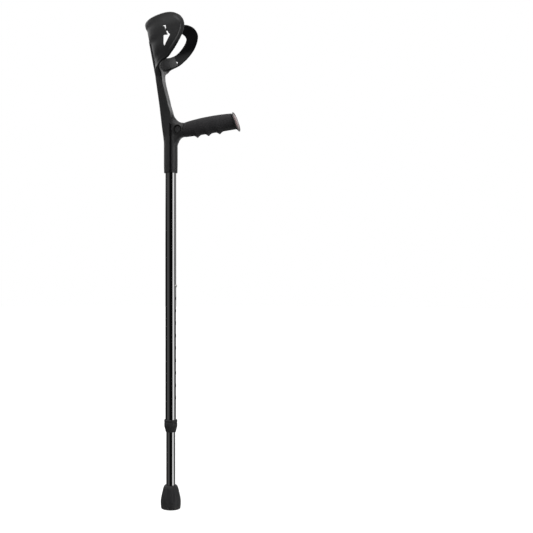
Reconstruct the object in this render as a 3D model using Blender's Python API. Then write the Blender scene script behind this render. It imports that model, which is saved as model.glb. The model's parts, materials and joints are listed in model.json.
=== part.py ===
"""Forearm crutch with a moulded cuff and handle on a telescopic aluminium leg.

The origin is the centre of the ferrule's ground face, on the tube axis. The handle points along +X.
Sizes below are in millimetres and are turned into metres where a mesh is made.
"""

import math

import bmesh
import bpy
import numpy as np
from mathutils import Matrix, Vector

MM = 0.001

# Gap between neighbouring pieces, and the clearance of the pieces that slide.
GAP = 0.3
SLIDE_GAP = 0.15

# Tubes.
OUTER_R = 11.0
OUTER_WALL = 1.2
INNER_R = 9.25
INNER_WALL = 1.2
TUBE_LOW = 167.0
INNER_TOP = 481.0
OUTER_BORE_R = OUTER_R - OUTER_WALL
INNER_BORE_R = INNER_R - INNER_WALL

# Row of holes, counted down from the one that the button sits in.
BUTTON_Z = 448.0
HOLE_COUNT = 10
HOLE_PITCH = 25.0

# Snap button on the X axis. Its tip stands proud of the outer tube.
BUTTON_R = 3.2
BUTTON_PROUD = 2.0
BUTTON_FLANGE_R = 4.5
BUTTON_FLANGE = 0.9
SPRING_HALF_WIDTH = 4.0
SPRING_THICK = 0.6

# Collar at the bottom of the outer tube, which stands on the collar's shelf.
COLLAR_SHELF = TUBE_LOW - GAP
COLLAR_NECK = 12.7
COLLAR_GRIP = 12.3
COLLAR_WALL = 2.0

# Ferrule.
FERRULE_HIGH = 46.8
FERRULE_FLOOR = 12.0
WASHER_THICK = 1.2
FLUTES = 10
FLUTE_TURN = math.radians(15.0)

# Height of the handle where it leaves the socket. The whole arm support goes up and down with it.
ROOT_MID = 760.4

# Socket that the tube sits in, and the rivet in its far side.
SOCKET_R = 14.0
SOCKET_LOW = ROOT_MID - 85.4
SOCKET_HIGH = ROOT_MID + 17.6
TUBE_TOP = ROOT_MID + 9.6
RIVET_Z = SOCKET_LOW + 25.0
RIVET_R = 1.9
BULB_R = 2.6

# Cuff and stem: a frame that leans back, with W forward and H along the lean.
LEAN = math.radians(11.0)
CUFF_X = -20.0
CUFF_Z = ROOT_MID + 109.6
REAR_W = -9.3
STEM_HALF = 13.4
STEM_DEPTH = 16.0
CUFF_HALF = 53.5
TIP_NARROW = 2.5
CUFF_DEPTH = 49.0
CUFF_HIGH = 109.2
CUFF_WALL = 4.0
WING_REACH = 79.5
TIP_H = 77.4
STEM_FOOT_H = -134.0
LIP_FLARE = 2.6

# Side view of the cuff as W and H: the back of the stem, then the front edge of the stem and of the wings
# up to the foremost point, then the two windows. The far one is the larger.
STEM_BACK = [(-134.0, -19.9), (-109.0, -17.4), (-85.0, -14.9), (-60.0, -13.0), (-35.0, -11.8)]
STEM_BACK += [(-15.0, -11.0), (0.0, -11.0), (8.0, -10.4), (16.0, REAR_W)]
FRONT_EDGE = [(-8.5, STEM_FOOT_H), (3.5, -112.0), (8.6, -88.0), (8.1, -77.0), (7.3, -69.0), (6.2, -60.0)]
FRONT_EDGE += [(5.4, -48.0), (4.5, -36.0), (3.6, -27.0), (2.8, -17.0), (2.6, -8.0), (3.2, 0.0), (4.4, 6.0)]
FRONT_EDGE += [(5.8, 12.5), (9.0, 17.0), (14.0, 19.4), (20.4, 20.9), (26.4, 22.2), (32.4, 24.2), (37.4, 27.0)]
FRONT_EDGE += [(42.6, 30.6), (48.5, 34.9), (54.0, 39.5), (59.4, 44.4), (64.4, 49.6), (69.0, 55.2)]
FRONT_EDGE += [(72.9, 60.9), (76.1, 66.6), (78.2, 72.3)]
NEAR_WINDOW = [(31.4, 44.0), (30.0, 50.3), (33.6, 66.2), (42.4, 64.4), (39.1, 78.0), (39.4, 81.7)]
NEAR_WINDOW += [(36.0, 82.6), (36.4, 85.0), (42.8, 83.8), (41.8, 78.4), (45.1, 66.4), (47.7, 62.8)]
FAR_WINDOW = [(7.4, 44.5), (17.0, 45.8), (26.0, 48.8), (36.0, 55.3), (44.5, 62.5), (51.0, 69.5)]
FAR_WINDOW += [(54.8, 77.5), (51.8, 84.5), (45.0, 92.6), (36.0, 99.4), (26.0, 103.4), (10.0, 104.6)]
FAR_WINDOW += [(6.0, 70.0)]


# Handle: a straight axis that climbs, and an end plane that leans a little more.
ROOT_X = 29.5
GRIP_CLIMB = math.radians(7.2)
GRIP_LONG = 106.5
GRIP_TALL = 29.5
GRIP_HALF = 15.7
RIDGE_PITCH = 22.75
RIDGE_TALL = 4.8
CORE_R = 9.5
END_X = ROOT_X + GRIP_LONG
END_Z = ROOT_MID + GRIP_LONG * math.tan(GRIP_CLIMB) - 1.35
END_LEAN = math.radians(18.3)
PLUG_R = 20.2
PLUG_THICK = 4.5
SPIGOT_R = 4.7
SPIGOT_LONG = 12.0
REFLECTOR_R = 17.3
REFLECTOR_THICK = 1.2


def clear_scene():
    for item in list(bpy.data.objects):
        bpy.data.objects.remove(item, do_unlink=True)


def smooth_step(value):
    t = np.clip(value, 0.0, 1.0)
    return t * t * (3.0 - 2.0 * t)


def plain_material(name, colour, roughness, metallic):
    made = bpy.data.materials.new(name)
    made.use_nodes = True
    shader = made.node_tree.nodes["Principled BSDF"]
    shader.inputs["Base Color"].default_value = (*colour, 1.0)
    shader.inputs["Roughness"].default_value = roughness
    shader.inputs["Metallic"].default_value = metallic
    made.diffuse_color = (*colour, 1.0)
    return made


def add_mesh(name, points, faces, material=None):
    data = bpy.data.meshes.new(name)
    data.from_pydata([tuple(float(c) * MM for c in p) for p in points], [], faces)
    shape = bmesh.new()
    shape.from_mesh(data)
    bmesh.ops.recalc_face_normals(shape, faces=shape.faces)
    shape.to_mesh(data)
    shape.free()
    made = bpy.data.objects.new(name, data)
    bpy.context.scene.collection.objects.link(made)
    if material:
        data.materials.append(material)
    return made


def turned(profile, steps):
    """Points and faces of a closed (radius, height) profile turned about Z. A zero radius is one point."""
    points = []
    rows = []
    for radius, height in profile:
        if radius == 0.0:
            rows.append([len(points)] * steps)
            points.append((0.0, 0.0, height))
            continue
        rows.append(list(range(len(points), len(points) + steps)))
        for k in range(steps):
            angle = 2.0 * math.pi * k / steps
            points.append((radius * math.cos(angle), radius * math.sin(angle), height))
    faces = []
    for low, high in zip(rows, rows[1:] + rows[:1]):
        for k in range(steps):
            n = (k + 1) % steps
            corner = list(dict.fromkeys([low[k], low[n], high[n], high[k]]))
            if len(corner) > 2:
                faces.append(corner)
    return points, faces


def placed(points, matrix):
    return [tuple(matrix @ Vector(p)) for p in points]


def turned_object(name, profile, steps, material=None, matrix=None):
    points, faces = turned(profile, steps)
    if matrix:
        points = placed(points, matrix)
    made = add_mesh(name, points, faces, material)
    if material:
        made.data.shade_smooth()
        made.data.set_sharp_from_angle(angle=math.radians(35.0))
    return made


def loft_object(name, rings, material=None):
    """One closed body through rings of equal point counts, each listed the same way round."""
    count = len(rings[0])
    points = [p for ring in rings for p in ring]
    faces = [list(range(count))[::-1]]
    for r in range(len(rings) - 1):
        a = r * count
        b = a + count
        for k in range(count):
            n = (k + 1) % count
            faces.append([a + k, a + n, b + n, b + k])
    faces.append(list(range((len(rings) - 1) * count, len(rings) * count)))
    return add_mesh(name, points, faces, material)


def cutter(made):
    made.hide_render = True
    made.display_type = "WIRE"
    return made


def combine(target, other, operation):
    change = target.modifiers.new(other.name, "BOOLEAN")
    change.operation = operation
    change.object = other
    change.solver = "EXACT"


def cuff_point(w, y, h):
    x = CUFF_X + w * math.cos(LEAN) - h * math.sin(LEAN)
    z = CUFF_Z + h * math.cos(LEAN) + w * math.sin(LEAN)
    return (x, y, z)


def flare(h):
    """How far the back of the rim rolls outward near the top."""
    return LIP_FLARE * smooth_step((h - 92.0) / 11.0)


def rear_line(h):
    """Back of the stem. It swings out below to run into the back of the socket."""
    return float(np.interp(h, [row[0] for row in STEM_BACK], [row[1] for row in STEM_BACK]))


def half_width(h):
    """Narrow up to the shoulder, then out to the full width, and a little in again at the rim."""
    rise = np.clip((h + 6.0) / 61.0, 0.0, 1.0)
    swell = (1.0 - (1.0 - rise) ** 1.95) * smooth_step((h - 1.0) / 14.0)
    return STEM_HALF + (CUFF_HALF - STEM_HALF) * swell - TIP_NARROW * smooth_step((h - 80.0) / 28.0)


def round_depth(h):
    return STEM_DEPTH + (CUFF_DEPTH - STEM_DEPTH) * smooth_step((h - 8.0) / 28.0)


def squareness(h):
    """The stem is nearly a rectangle, power 6, and the cuff a plain ellipse, power 2."""
    above = 1.0 - smooth_step((h + 25.0) / 45.0)
    below = 1.0 - smooth_step((-70.0 - h) / 60.0)
    return 2.0 + 4.0 * above * below


def u_ring(h, back, depth, half, reach, power, steps):
    """A rounded back, from half ellipse to rectangle, with straight sides that run forward to reach."""
    ring = []
    for k in range(steps + 1):
        angle = math.pi * (k / steps - 0.5)
        c = math.cos(angle) ** (2.0 / power)
        s = math.copysign(abs(math.sin(angle)) ** (2.0 / power), angle)
        ring.append(cuff_point(back + depth * (1.0 - c), half * s, h))
    ring.append(cuff_point(reach, half, h))
    ring.append(cuff_point(reach, -half, h))
    return ring


def cuff_outside():
    rings = []
    heights = [row[0] for row in STEM_BACK[:6]]
    heights += list(np.arange(0.0, 54.0, 2.5))
    heights += [60.0, 80.0, 92.0, 95.0, 98.0, 101.0, 104.0, 112.0]
    for h in heights:
        out = flare(h)
        rings.append(
            u_ring(h, rear_line(h) - out, round_depth(h) + out, half_width(h), 95.0, squareness(h), 22)
        )
    return loft_object("cut_outside", rings)


def cuff_inside():
    """The bowl that the forearm lies in. Its back climbs out of the front of the stem."""
    rings = []
    heights = list(np.arange(0.0, 54.0, 3.0))
    heights += [60.0, 80.0, 92.0, 95.0, 98.0, 101.0, 104.0, 114.0]
    for h in heights:
        out = flare(h)
        scoop = smooth_step(h / 38.0)
        back = (REAR_W + 18.5) * (1.0 - scoop) + (REAR_W + CUFF_WALL) * scoop - out
        depth = round_depth(h) - CUFF_WALL + out
        half = half_width(h) - CUFF_WALL
        rings.append(u_ring(h, back, depth, half, 99.0, 2.0, 20))
    return cutter(loft_object("cut_bowl", rings))


def side_prism(name, outline, low, high):
    """An outline in W and H carried across from low to high in Y."""
    near = [cuff_point(w, low, h) for w, h in outline]
    far = [cuff_point(w, high, h) for w, h in outline]
    return cutter(loft_object(name, [near, far]))


def quarter(centre, reach, power, start, stop, steps):
    """Points of a superellipse about a centre, between two angles in degrees."""
    found = []
    for angle in np.radians(np.linspace(start, stop, steps + 1)):
        c = math.cos(angle)
        s = math.sin(angle)
        w = centre[0] + reach[0] * math.copysign(abs(c) ** (2.0 / power), c)
        h = centre[1] + reach[1] * math.copysign(abs(s) ** (2.0 / power), s)
        found.append((w, h))
    return found


def side_outline():
    """Front edge of the stem and of the two wings, then the large top corner, then round behind."""
    crown = REAR_W + CUFF_DEPTH
    outline = [(-40.0, STEM_FOOT_H)] + FRONT_EDGE
    outline += quarter((crown, TIP_H), (WING_REACH - crown, CUFF_HIGH - TIP_H), 2.2, 0.0, 90.0, 9)
    outline += [(10.0, CUFF_HIGH - 0.4), (-40.0, CUFF_HIGH - 4.0)]
    return outline


def rounded(outline, radius, steps):
    """The outline with each corner replaced by a short curve."""
    made = []
    count = len(outline)
    for k in range(count):
        here = np.array(outline[k])
        back = np.array(outline[k - 1]) - here
        ahead = np.array(outline[(k + 1) % count]) - here
        cut = min(radius, 0.45 * np.linalg.norm(back), 0.45 * np.linalg.norm(ahead))
        first = here + back / np.linalg.norm(back) * cut
        last = here + ahead / np.linalg.norm(ahead) * cut
        for t in np.linspace(0.0, 1.0, steps + 1):
            point = first * (1 - t) ** 2 + here * 2 * t * (1 - t) + last * t**2
            made.append(tuple(point))
    return made


def cylinder_between(name, radius, start, stop, steps, matrix=None):
    profile = [(0.0, start), (radius, start), (radius, stop), (0.0, stop)]
    return cutter(turned_object(name, profile, steps, None, matrix))


def root_object():
    """The handle root, blended into the socket by the fall of its top and the sweep of its bottom line."""
    rings = []
    for x in np.linspace(-2.0, ROOT_X - GAP, 11):
        back = (ROOT_X - x) / 22.0
        top = ROOT_MID + 0.5 * GRIP_TALL + 0.2 + 13.6 * back**2.6
        bottom = ROOT_MID - 0.5 * GRIP_TALL + 1.2 - 39.0 * min(back, 1.0) ** 2.9
        half = GRIP_HALF - 1.7 - 1.3 * min(back, 1.0)
        rings.append(oval_ring(x, bottom, top, half, 2.4, 28))
    return cutter(loft_object("join_root", rings))


def oval_ring(x, bottom, top, half, power, steps):
    middle = 0.5 * (top + bottom)
    tall = 0.5 * (top - bottom)
    ring = []
    for k in range(steps):
        angle = 2.0 * math.pi * k / steps
        c = math.cos(angle)
        s = math.sin(angle)
        y = half * math.copysign(abs(c) ** (2.0 / power), c)
        z = middle + tall * math.copysign(abs(s) ** (2.0 / power), s)
        ring.append((x, y, z))
    return ring


def axis_matrix(x, z, lean):
    """Carries the Z axis of a turned shape onto a line in XZ that climbs by lean."""
    turn = Matrix.Rotation(0.5 * math.pi - lean, 4, "Y")
    return Matrix.Translation((x, 0.0, z)) @ turn


def handle_frame():
    return axis_matrix(ROOT_X, ROOT_MID, GRIP_CLIMB)


def end_frame():
    return axis_matrix(END_X, END_Z, END_LEAN)


def rivet_frame():
    return Matrix.Translation((0.0, 0.0, RIVET_Z)) @ Matrix.Rotation(-0.5 * math.pi, 4, "X")


def end_slab(name, level):
    """Everything past the end plane of the handle, from level along its normal."""
    side = 40.0
    points = []
    for s in (level, level + 60.0):
        for a, b in ((-side, -side), (side, -side), (side, side), (-side, side)):
            points.append((a, b, s))
    faces = [[3, 2, 1, 0], [4, 5, 6, 7]]
    for k in range(4):
        n = (k + 1) % 4
        faces.append([k, n, 4 + n, 4 + k])
    return cutter(add_mesh(name, placed(points, end_frame()), faces))


def grip_top(x):
    """Upper line of the grip, which climbs fast at first and then flattens."""
    along = (x - ROOT_X) / GRIP_LONG
    return ROOT_MID + 0.5 * GRIP_TALL + 13.9 * np.sin(0.5 * math.pi * np.clip(along, 0.0, 1.2) ** 0.85)


def grip_bottom(x):
    """Underside of the grip: a rising line with three pointed finger ridges."""
    along = (x - ROOT_X) / GRIP_LONG
    base = ROOT_MID - 0.5 * GRIP_TALL + 0.9 + 11.5 * np.clip(along, 0.0, 1.2) ** 1.15
    for k in range(3):
        place = ROOT_X + 26.0 + k * RIDGE_PITCH
        base = base - RIDGE_TALL * np.clip(1.0 - abs(x - place) / 7.5, 0.0, 1.0) ** 1.5
    return base


def tube_pieces(black):
    outer = turned_object(
        "outer_tube",
        [
            (OUTER_BORE_R, TUBE_LOW),
            (OUTER_R, TUBE_LOW),
            (OUTER_R, TUBE_TOP),
            (OUTER_BORE_R, TUBE_TOP),
        ],
        48,
        black,
    )
    side = axis_matrix(0.0, 0.0, 0.0)
    hole_r = BUTTON_R + 0.4
    for k in range(HOLE_COUNT):
        place = Matrix.Translation((0.0, 0.0, BUTTON_Z - k * HOLE_PITCH)) @ side
        hole = cylinder_between(f"cut_hole_{k}", hole_r, 4.0, 16.0, 20, place)
        combine(outer, hole, "DIFFERENCE")
    rivet_hole = cylinder_between("cut_rivet", RIVET_R + GAP, 6.0, 20.0, 16, rivet_frame())
    combine(outer, rivet_hole, "DIFFERENCE")

    low = FERRULE_FLOOR + GAP + WASHER_THICK + GAP
    inner = turned_object(
        "inner_tube",
        [
            (INNER_BORE_R, low),
            (INNER_R, low),
            (INNER_R, INNER_TOP),
            (INNER_BORE_R, INNER_TOP),
        ],
        48,
        black,
    )
    place = Matrix.Translation((0.0, 0.0, BUTTON_Z)) @ side
    hole = cylinder_between("cut_inner_hole", BUTTON_R + 0.2, 4.0, 14.0, 20, place)
    combine(inner, hole, "DIFFERENCE")
    return rivet_hole


def collar_piece(plastic):
    bore = OUTER_R + GAP
    neck = INNER_R + GAP
    low = COLLAR_SHELF - COLLAR_NECK
    high = COLLAR_SHELF + COLLAR_GRIP
    turned_object(
        "tube_end_collar",
        [
            (neck, low),
            (neck + 0.8, low),
            (neck + 1.2, low + 1.6),
            (neck + 1.9, low + 4.9),
            (neck + 2.9, COLLAR_SHELF - 4.3),
            (bore + COLLAR_WALL - 0.1, COLLAR_SHELF - 1.4),
            (bore + COLLAR_WALL, high - 5.0),
            (bore + COLLAR_WALL, high - 0.8),
            (bore + COLLAR_WALL - 0.8, high),
            (bore, high),
            (bore, COLLAR_SHELF),
            (neck, COLLAR_SHELF),
        ],
        48,
        plastic,
    )


def bush_piece(plastic):
    """Plug in the top of the inner tube. Its flange runs in the bore of the outer tube."""
    flange = OUTER_BORE_R - SLIDE_GAP
    spigot = INNER_BORE_R - GAP
    low = INNER_TOP + GAP
    turned_object(
        "guide_bush",
        [
            (3.0, low - 14.0),
            (spigot - 0.6, low - 14.0),
            (spigot, low - 13.0),
            (spigot, low),
            (flange, low),
            (flange, low + 5.0),
            (flange - 0.8, low + 6.0),
            (3.0, low + 6.0),
        ],
        40,
        plastic,
    )


def button_pieces(steel, spring_steel):
    seat = math.sqrt((INNER_BORE_R - GAP) ** 2 - BUTTON_FLANGE_R**2)
    tip = OUTER_R + BUTTON_PROUD
    profile = [(0.0, seat - BUTTON_FLANGE), (BUTTON_FLANGE_R, seat - BUTTON_FLANGE)]
    profile += [(BUTTON_FLANGE_R, seat), (BUTTON_R, seat)]
    for angle in np.radians(np.linspace(0.0, 75.0, 6)):
        profile.append((BUTTON_R * math.cos(angle), tip - 1.5 * (1.0 - math.sin(angle))))
    profile.append((0.0, tip))
    button = turned_object("snap_button", profile, 28, steel, axis_matrix(0.0, 0.0, 0.0))
    button.location.z = BUTTON_Z * MM

    half = 0.5 * SPRING_THICK
    front = seat - BUTTON_FLANGE - GAP - half
    corner = math.sqrt((INNER_BORE_R - GAP) ** 2 - SPRING_HALF_WIDTH**2)
    rear = half - corner
    turn = 3.0
    low = BUTTON_Z - 30.0
    middle = 0.5 * (front + rear)
    line = [(front, BUTTON_Z + 8.0), (front, BUTTON_Z - 6.0)]
    for angle in np.radians(np.linspace(0.0, 180.0, 9)):
        line.append((middle + turn * math.cos(angle), low - turn * math.sin(angle)))
    line += [(rear, BUTTON_Z - 6.0), (rear, BUTTON_Z + 8.0)]
    path = [np.array(p) for p in line]
    one = []
    two = []
    for k, here in enumerate(path):
        run = path[min(k + 1, len(path) - 1)] - path[max(k - 1, 0)]
        normal = np.array([-run[1], run[0]]) / np.linalg.norm(run) * half
        one.append(here + normal)
        two.append(here - normal)
    outline = one + two[::-1]
    rings = []
    for y in (-SPRING_HALF_WIDTH, SPRING_HALF_WIDTH):
        rings.append([(x, y, z) for x, z in outline])
    loft_object("button_spring", rings, spring_steel)


def ferrule_pieces(rubber, steel):
    bore = INNER_R + GAP
    ground = [(0.0, 0.0), (6.0, 0.0), (6.8, 1.0), (8.8, 1.0), (9.6, 0.0), (12.8, 0.0)]
    ground += [(13.6, 1.0), (15.6, 1.0), (16.4, 0.0), (18.8, 0.0)]
    outside = [(19.5, 0.8), (19.9, 4.0), (20.3, 9.0), (20.5, 14.0), (20.3, 18.0), (19.7, 22.5)]
    outside += [(18.6, 27.5), (17.5, 32.0), (16.3, 37.0), (15.6, 40.0), (14.9, FERRULE_HIGH - 4.6)]
    outside += [(14.0, FERRULE_HIGH - 2.4), (12.9, FERRULE_HIGH - 0.7), (12.1, FERRULE_HIGH)]
    inside = [(bore, FERRULE_HIGH), (bore, FERRULE_FLOOR), (0.0, FERRULE_FLOOR)]
    ferrule = turned_object("ferrule", ground + outside + inside, 48, rubber)
    for k in range(FLUTES):
        turn = Matrix.Rotation(2.0 * math.pi * k / FLUTES + FLUTE_TURN, 4, "Z")
        place = turn @ Matrix.Translation((23.1, 0.0, 16.0)) @ Matrix.Rotation(-0.197, 4, "Y")
        combine(ferrule, cylinder_between(f"cut_flute_{k}", 3.4, 0.0, 25.0, 12, place), "DIFFERENCE")
    low = FERRULE_FLOOR + GAP
    turned_object(
        "ferrule_washer",
        [
            (0.0, low),
            (bore - GAP, low),
            (bore - GAP, low + WASHER_THICK - 0.3),
            (bore - GAP - 0.3, low + WASHER_THICK),
            (0.0, low + WASHER_THICK),
        ],
        40,
        steel,
    )


def rivet_piece(steel):
    seat = SOCKET_R + GAP
    inside = math.sqrt(OUTER_BORE_R**2 - BULB_R**2) - GAP
    profile = [(0.0, inside - 2.4), (BULB_R - 1.0, inside - 2.4)]
    profile += [(BULB_R, inside - 1.6), (BULB_R, inside)]
    profile += [(RIVET_R, inside), (RIVET_R, seat), (3.5, seat)]
    for angle in np.radians(np.linspace(0.0, 70.0, 5)):
        profile.append((3.5 * math.cos(angle), seat + 0.3 + 0.9 * math.sin(angle)))
    profile.append((0.0, seat + 1.2))
    turned_object("socket_rivet", profile, 24, steel, rivet_frame())


def arm_support_piece(plastic, rivet_hole):
    body = cuff_outside()
    body.name = "arm_support"
    body.data.materials.append(plastic)
    combine(body, side_prism("cut_side", side_outline(), -75.0, 75.0), "INTERSECT")
    combine(body, cuff_inside(), "DIFFERENCE")
    near = rounded(NEAR_WINDOW, 0.9, 2)
    far = rounded(FAR_WINDOW, 7.0, 4)
    combine(body, side_prism("cut_near_window", near, -75.0, -5.0), "DIFFERENCE")
    combine(body, side_prism("cut_far_window", far, 5.0, 75.0), "DIFFERENCE")
    socket = turned_object(
        "join_socket",
        [
            (0.0, SOCKET_LOW),
            (SOCKET_R - 0.9, SOCKET_LOW),
            (SOCKET_R - 0.4, SOCKET_LOW + 0.5),
            (SOCKET_R, SOCKET_LOW + 16.0),
            (SOCKET_R, SOCKET_HIGH - 40.0),
            (SOCKET_R - 1.0, SOCKET_HIGH),
            (0.0, SOCKET_HIGH),
        ],
        48,
    )
    combine(body, cutter(socket), "UNION")
    combine(body, root_object(), "UNION")
    core = cylinder_between("join_core", CORE_R, -12.0, GRIP_LONG + 15.0, 32, handle_frame())
    combine(body, core, "UNION")
    bore = cylinder_between("cut_bore", OUTER_R + GAP, SOCKET_LOW - 5.0, TUBE_TOP + GAP, 48)
    combine(body, bore, "DIFFERENCE")
    combine(body, end_slab("cut_core_end", -PLUG_THICK - GAP), "DIFFERENCE")
    depth = -PLUG_THICK - SPIGOT_LONG - GAP
    combine(body, cylinder_between("cut_spigot", SPIGOT_R + GAP, depth, 10.0, 24, end_frame()), "DIFFERENCE")
    combine(body, rivet_hole, "DIFFERENCE")


def grip_piece(rubber):
    rings = []
    places = [ROOT_X, ROOT_X + 7.5, ROOT_X + 15.5]
    places += list(ROOT_X + 26.0 + RIDGE_PITCH * np.linspace(-0.33, 2.33, 33))
    places += list(ROOT_X + GRIP_LONG * np.array([0.82, 0.92, 1.1]))
    for x in places:
        half = GRIP_HALF - 1.3 + 1.3 * smooth_step((x - ROOT_X) / 40.0)
        rings.append(oval_ring(x, float(grip_bottom(x)), float(grip_top(x)), half, 2.2, 28))
    sleeve = loft_object("grip_sleeve", rings, rubber)
    combine(sleeve, end_slab("cut_sleeve_end", -PLUG_THICK - GAP), "DIFFERENCE")
    bore = cylinder_between("cut_sleeve", CORE_R + GAP, -15.0, GRIP_LONG + 20.0, 32, handle_frame())
    combine(sleeve, bore, "DIFFERENCE")


def plug_pieces(plastic, red):
    recess = REFLECTOR_R + GAP
    floor = -GAP - REFLECTOR_THICK - GAP
    turned_object(
        "grip_end_plug",
        [
            (0.0, -PLUG_THICK - SPIGOT_LONG + 0.5),
            (SPIGOT_R - 0.8, -PLUG_THICK - SPIGOT_LONG + 0.5),
            (SPIGOT_R, -PLUG_THICK - SPIGOT_LONG + 1.5),
            (SPIGOT_R, -PLUG_THICK),
            (15.6, -PLUG_THICK),
            (17.0, -PLUG_THICK + 1.4),
            (PLUG_R, -PLUG_THICK + 2.9),
            (PLUG_R, -0.6),
            (PLUG_R - 0.6, 0.0),
            (recess, 0.0),
            (recess, floor),
            (0.0, floor),
        ],
        48,
        plastic,
        end_frame(),
    )
    turned_object(
        "end_reflector",
        [
            (0.0, floor + GAP),
            (REFLECTOR_R, floor + GAP),
            (REFLECTOR_R, -GAP - 0.4),
            (REFLECTOR_R - 0.4, -GAP),
            (0.0, -GAP),
        ],
        48,
        red,
        end_frame(),
    )


def parent_to(name, members, location=(0.0, 0.0, 0.0)):
    """An empty that carries one moving group, with the pieces left where they are."""
    holder = bpy.data.objects.new(name, None)
    holder.location = location
    holder.empty_display_size = 0.05
    bpy.context.scene.collection.objects.link(holder)
    for member in members:
        item = bpy.data.objects[member]
        item.parent = holder
        item.matrix_parent_inverse = Matrix.Translation([-c for c in location])
    return holder


def main():
    clear_scene()
    black = plain_material("anodised_black", (0.012, 0.012, 0.013), 0.22, 0.9)
    moulded = plain_material("moulded_black", (0.016, 0.016, 0.017), 0.38, 0.0)
    matt = plain_material("matt_black", (0.02, 0.02, 0.021), 0.6, 0.0)
    grip = plain_material("grip_rubber", (0.022, 0.022, 0.024), 0.7, 0.0)
    foot = plain_material("ferrule_rubber", (0.018, 0.018, 0.019), 0.5, 0.0)
    steel = plain_material("plated_steel", (0.6, 0.6, 0.61), 0.25, 1.0)
    spring = plain_material("spring_steel", (0.4, 0.41, 0.42), 0.3, 1.0)
    rivet = plain_material("rivet_steel", (0.05, 0.05, 0.05), 0.35, 0.8)
    washer = plain_material("washer_steel", (0.5, 0.5, 0.5), 0.4, 1.0)
    bush = plain_material("bush_plastic", (0.75, 0.75, 0.73), 0.5, 0.0)
    cap = plain_material("plug_black", (0.015, 0.015, 0.016), 0.35, 0.0)
    red = plain_material("reflector_red", (0.45, 0.02, 0.015), 0.12, 0.0)
    rivet_hole = tube_pieces(black)
    collar_piece(matt)
    bush_piece(bush)
    button_pieces(steel, spring)
    ferrule_pieces(foot, washer)
    rivet_piece(rivet)
    arm_support_piece(moulded, rivet_hole)
    grip_piece(grip)
    plug_pieces(cap, red)
    button = parent_to("button", ["snap_button"], (0.0, 0.0, BUTTON_Z * MM))
    leg = parent_to(
        "leg", ["inner_tube", "guide_bush", "button_spring", "ferrule", "ferrule_washer"]
    )
    button.parent = leg


main()
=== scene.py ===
# %% [markdown]
# A forearm crutch with a moulded cuff. The solids are already in place: this script gives every
# visible piece its finished shape and its surface, and sets up the studio and the camera.
# Sizes are typed in millimetres, as on a maker's drawing, and become metres where a mesh is made.
# The middle of the rubber foot's sole is the origin, the handle points along X and Z is up.

import json
import math

import bmesh
import bpy
import numpy as np
from mathutils import Matrix, Vector

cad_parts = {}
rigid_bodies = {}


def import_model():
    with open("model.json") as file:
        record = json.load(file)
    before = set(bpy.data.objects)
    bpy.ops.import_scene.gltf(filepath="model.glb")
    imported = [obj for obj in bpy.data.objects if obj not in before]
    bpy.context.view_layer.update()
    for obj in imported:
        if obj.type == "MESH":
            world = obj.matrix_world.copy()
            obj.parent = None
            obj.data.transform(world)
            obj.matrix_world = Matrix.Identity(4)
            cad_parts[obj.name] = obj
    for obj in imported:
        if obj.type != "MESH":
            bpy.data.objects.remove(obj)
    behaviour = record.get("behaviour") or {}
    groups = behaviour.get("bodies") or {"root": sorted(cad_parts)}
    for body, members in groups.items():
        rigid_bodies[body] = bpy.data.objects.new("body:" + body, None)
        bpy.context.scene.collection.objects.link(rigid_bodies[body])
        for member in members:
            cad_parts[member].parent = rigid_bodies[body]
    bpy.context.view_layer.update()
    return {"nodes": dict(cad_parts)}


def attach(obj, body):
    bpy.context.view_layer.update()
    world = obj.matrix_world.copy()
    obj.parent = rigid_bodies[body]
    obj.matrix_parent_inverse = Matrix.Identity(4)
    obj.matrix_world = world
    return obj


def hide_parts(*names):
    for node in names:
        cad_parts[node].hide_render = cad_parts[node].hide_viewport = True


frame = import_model()
MM = 0.001

# %% [markdown]
# The camera is what makes a render comparable with a photograph, so it comes first. Two things
# fix it: how far away it is, which shows in how much smaller the far wing of the cuff looks than
# the near one, and how far round it stands, which shows in how much of the handle's end is seen.
# A level camera keeps the tube upright, so it is aimed sideways only.

# %% Camera
PICTURE_SIDE = 533
SENSOR = 36.0
CAMERA_AWAY = 1.79
CAMERA_HIGH = 0.487
CAMERA_ROUND = math.radians(17.0)
TUBE_COLUMN = 170.8
LEVEL_ROW = 266.5
METRES_PER_PIXEL = 0.002016

camera_data = bpy.data.cameras.new("camera")
camera_data.sensor_width = SENSOR
camera_data.lens = CAMERA_AWAY / METRES_PER_PIXEL * SENSOR / PICTURE_SIDE
camera = bpy.data.objects.new("camera", camera_data)
bpy.context.scene.collection.objects.link(camera)
bpy.context.scene.camera = camera
camera.location.x = CAMERA_AWAY * math.sin(CAMERA_ROUND)
camera.location.y = -CAMERA_AWAY * math.cos(CAMERA_ROUND)
camera.location.z = CAMERA_HIGH
camera.rotation_euler = (math.pi / 2, 0.0, CAMERA_ROUND)
camera_data.shift_x = (PICTURE_SIDE / 2 - TUBE_COLUMN) / PICTURE_SIDE
camera_data.shift_y = (LEVEL_ROW - PICTURE_SIDE / 2) / PICTURE_SIDE
print("lens:", round(camera_data.lens, 1), "mm, shift:", round(camera_data.shift_x, 3))

# %% [markdown]
# The photograph shows the crutch on plain white, with no room around it. A pale floor with a
# little light of its own gives that, and still lets the rubber foot leave a soft shadow. The
# black pieces neither mirror it nor are lit by it, because their undersides are nearly black.

# %% Floor
def start_fresh():
    """Leaves edit mode and lets go of everything, so that the next operator acts on one piece."""
    if bpy.context.object and bpy.context.object.mode != "OBJECT":
        bpy.ops.object.mode_set(mode="OBJECT")
    bpy.ops.object.select_all(action="DESELECT")


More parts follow.
